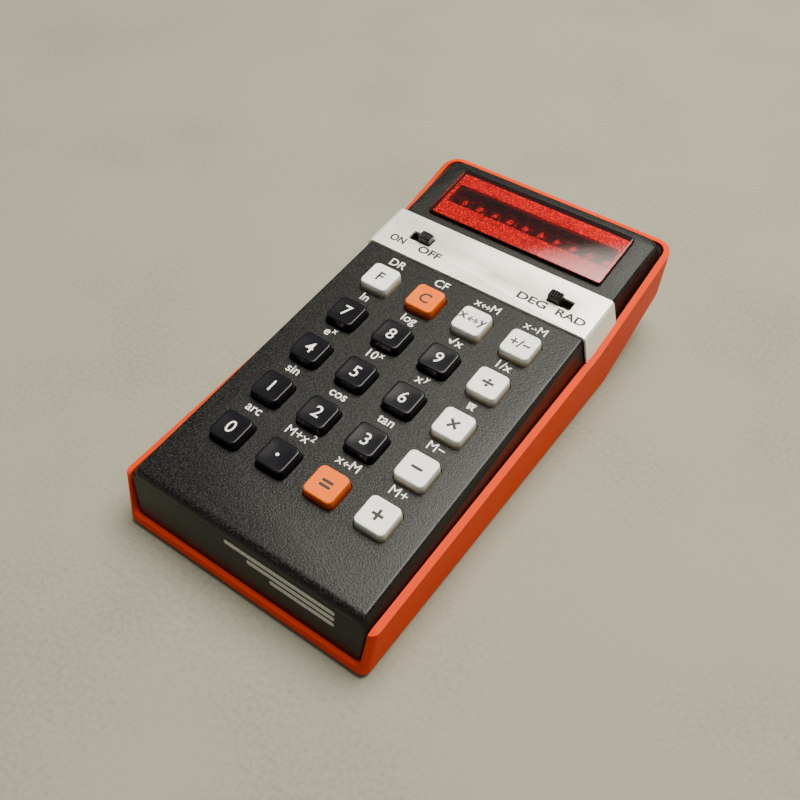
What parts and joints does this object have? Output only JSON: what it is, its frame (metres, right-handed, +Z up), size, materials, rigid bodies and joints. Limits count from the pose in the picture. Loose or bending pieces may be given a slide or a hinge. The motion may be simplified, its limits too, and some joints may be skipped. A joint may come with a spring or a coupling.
{
  "type": "pocket calculator",
  "caption": "Hand-held scientific calculator with a wedge-shaped two-part case, square keys, a raised red display window, a bright band with slide switches and a sliding battery cover.",
  "frame": {"origin": "on the table, under the middle of the case's width and length", "axes": "+X to the right across the keys, +Y from the keypad end to the display end, +Z up from the table"},
  "size_m": [0.0772, 0.1484, 0.0327],
  "materials": {
    "grained_black_plastic": "fine leather grain",
    "orange_plastic": "satin moulded",
    "silver_band": "satin",
    "red_window": "polished, see-through",
    "red_mask": "pebbled",
    "clear_lens": "polished, see-through",
    "circuit_board": "solder mask",
    "dome_film": "smooth film",
    "chip_epoxy": "moulded epoxy",
    "capacitor_sleeve": "shrink sleeve",
    "coil_copper": "enamelled winding",
    "black_key": "satin",
    "orange_key": "satin",
    "white_key": "satin",
    "knob_black": "ribbed",
    "switch_body": "moulded",
    "cell_label": "film label",
    "contact_nickel": "nickel plated",
    "wire_sleeve": "vinyl sleeve",
    "flat_cable": "ribbed vinyl",
    "screw_steel": "zinc plated",
    "foot_rubber": "moulded"
  },
  "bodies": {
    "case": {"upper_case": "grained_black_plastic", "lower_case": "orange_plastic", "trim_band": "silver_band", "display_window": "red_window", "display_mask": "red_mask", "lens_bar": "clear_lens", "display_board": "circuit_board", "main_board": "circuit_board", "keypad_board": "circuit_board", "dome_sheet": "dome_film", "processor_chip": "chip_epoxy", "driver_chip_left": "chip_epoxy", "driver_chip_right": "chip_epoxy", "capacitor": "capacitor_sleeve", "coil": "coil_copper", "power_switch_body": "switch_body", "angle_switch_body": "switch_body", "battery_cell_1": "cell_label", "battery_cell_2": "cell_label", "battery_cell_3": "cell_label", "contact_negative": "contact_nickel", "contact_positive": "contact_nickel", "contact_bridge_left": "contact_nickel", "contact_bridge_right": "contact_nickel", "wire_negative": "wire_sleeve", "wire_positive": "wire_sleeve", "display_ribbon": "flat_cable", "keypad_ribbon": "flat_cable", "case_screw_front_left": "screw_steel", "case_screw_front_right": "screw_steel", "case_screw_rear_left": "screw_steel", "case_screw_rear_right": "screw_steel", "foot_front_left": "foot_rubber", "foot_front_right": "foot_rubber", "foot_rear_left": "foot_rubber", "foot_rear_right": "foot_rubber"},
    "key_function_body": {"key_function": "white_key"},
    "key_clear_body": {"key_clear": "orange_key"},
    "key_exchange_body": {"key_exchange": "white_key"},
    "key_sign_body": {"key_sign": "white_key"},
    "key_7_body": {"key_7": "black_key"},
    "key_8_body": {"key_8": "black_key"},
    "key_9_body": {"key_9": "black_key"},
    "key_divide_body": {"key_divide": "white_key"},
    "key_4_body": {"key_4": "black_key"},
    "key_5_body": {"key_5": "black_key"},
    "key_6_body": {"key_6": "black_key"},
    "key_multiply_body": {"key_multiply": "white_key"},
    "key_1_body": {"key_1": "black_key"},
    "key_2_body": {"key_2": "black_key"},
    "key_3_body": {"key_3": "black_key"},
    "key_minus_body": {"key_minus": "white_key"},
    "key_0_body": {"key_0": "black_key"},
    "key_point_body": {"key_point": "black_key"},
    "key_equals_body": {"key_equals": "orange_key"},
    "key_plus_body": {"key_plus": "white_key"},
    "power_switch_knob_body": {"power_switch_knob": "knob_black"},
    "angle_switch_knob_body": {"angle_switch_knob": "knob_black"},
    "battery_cover_body": {"battery_cover": "orange_plastic"}
  },
  "joints": [
    {"name": "key_function_press", "type": "slide", "parent": "case", "child": "key_function_body", "axis": [0, -0.0924, 0.9957], "range_m": [-0.001, 0], "stiffness_N_per_m": 500},
    {"name": "key_clear_press", "type": "slide", "parent": "case", "child": "key_clear_body", "axis": [0, -0.0924, 0.9957], "range_m": [-0.001, 0], "stiffness_N_per_m": 500},
    {"name": "key_exchange_press", "type": "slide", "parent": "case", "child": "key_exchange_body", "axis": [0, -0.0924, 0.9957], "range_m": [-0.001, 0], "stiffness_N_per_m": 500},
    {"name": "key_sign_press", "type": "slide", "parent": "case", "child": "key_sign_body", "axis": [0, -0.0924, 0.9957], "range_m": [-0.001, 0], "stiffness_N_per_m": 500},
    {"name": "key_7_press", "type": "slide", "parent": "case", "child": "key_7_body", "axis": [0, -0.0924, 0.9957], "range_m": [-0.001, 0], "stiffness_N_per_m": 500},
    {"name": "key_8_press", "type": "slide", "parent": "case", "child": "key_8_body", "axis": [0, -0.0924, 0.9957], "range_m": [-0.001, 0], "stiffness_N_per_m": 500},
    {"name": "key_9_press", "type": "slide", "parent": "case", "child": "key_9_body", "axis": [0, -0.0924, 0.9957], "range_m": [-0.001, 0], "stiffness_N_per_m": 500},
    {"name": "key_divide_press", "type": "slide", "parent": "case", "child": "key_divide_body", "axis": [0, -0.0924, 0.9957], "range_m": [-0.001, 0], "stiffness_N_per_m": 500},
    {"name": "key_4_press", "type": "slide", "parent": "case", "child": "key_4_body", "axis": [0, -0.0924, 0.9957], "range_m": [-0.001, 0], "stiffness_N_per_m": 500},
    {"name": "key_5_press", "type": "slide", "parent": "case", "child": "key_5_body", "axis": [0, -0.0924, 0.9957], "range_m": [-0.001, 0], "stiffness_N_per_m": 500},
    {"name": "key_6_press", "type": "slide", "parent": "case", "child": "key_6_body", "axis": [0, -0.0924, 0.9957], "range_m": [-0.001, 0], "stiffness_N_per_m": 500},
    {"name": "key_multiply_press", "type": "slide", "parent": "case", "child": "key_multiply_body", "axis": [0, -0.0924, 0.9957], "range_m": [-0.001, 0], "stiffness_N_per_m": 500},
    {"name": "key_1_press", "type": "slide", "parent": "case", "child": "key_1_body", "axis": [0, -0.0924, 0.9957], "range_m": [-0.001, 0], "stiffness_N_per_m": 500},
    {"name": "key_2_press", "type": "slide", "parent": "case", "child": "key_2_body", "axis": [0, -0.0924, 0.9957], "range_m": [-0.001, 0], "stiffness_N_per_m": 500},
    {"name": "key_3_press", "type": "slide", "parent": "case", "child": "key_3_body", "axis": [0, -0.0924, 0.9957], "range_m": [-0.001, 0], "stiffness_N_per_m": 500},
    {"name": "key_minus_press", "type": "slide", "parent": "case", "child": "key_minus_body", "axis": [0, -0.0924, 0.9957], "range_m": [-0.001, 0], "stiffness_N_per_m": 500},
    {"name": "key_0_press", "type": "slide", "parent": "case", "child": "key_0_body", "axis": [0, -0.0924, 0.9957], "range_m": [-0.001, 0], "stiffness_N_per_m": 500},
    {"name": "key_point_press", "type": "slide", "parent": "case", "child": "key_point_body", "axis": [0, -0.0924, 0.9957], "range_m": [-0.001, 0], "stiffness_N_per_m": 500},
    {"name": "key_equals_press", "type": "slide", "parent": "case", "child": "key_equals_body", "axis": [0, -0.0924, 0.9957], "range_m": [-0.001, 0], "stiffness_N_per_m": 500},
    {"name": "key_plus_press", "type": "slide", "parent": "case", "child": "key_plus_body", "axis": [0, -0.0924, 0.9957], "range_m": [-0.001, 0], "stiffness_N_per_m": 500},
    {"name": "power_switch_slide", "type": "slide", "parent": "case", "child": "power_switch_knob_body", "axis": [-1, 0, 0], "range_m": [0, 0.003]},
    {"name": "angle_switch_slide", "type": "slide", "parent": "case", "child": "angle_switch_knob_body", "axis": [1, 0, 0], "range_m": [0, 0.003]},
    {"name": "battery_cover_slide", "type": "slide", "parent": "case", "child": "battery_cover_body", "axis": [0, 1, 0], "range_m": [0, 0.014]}
  ]
}
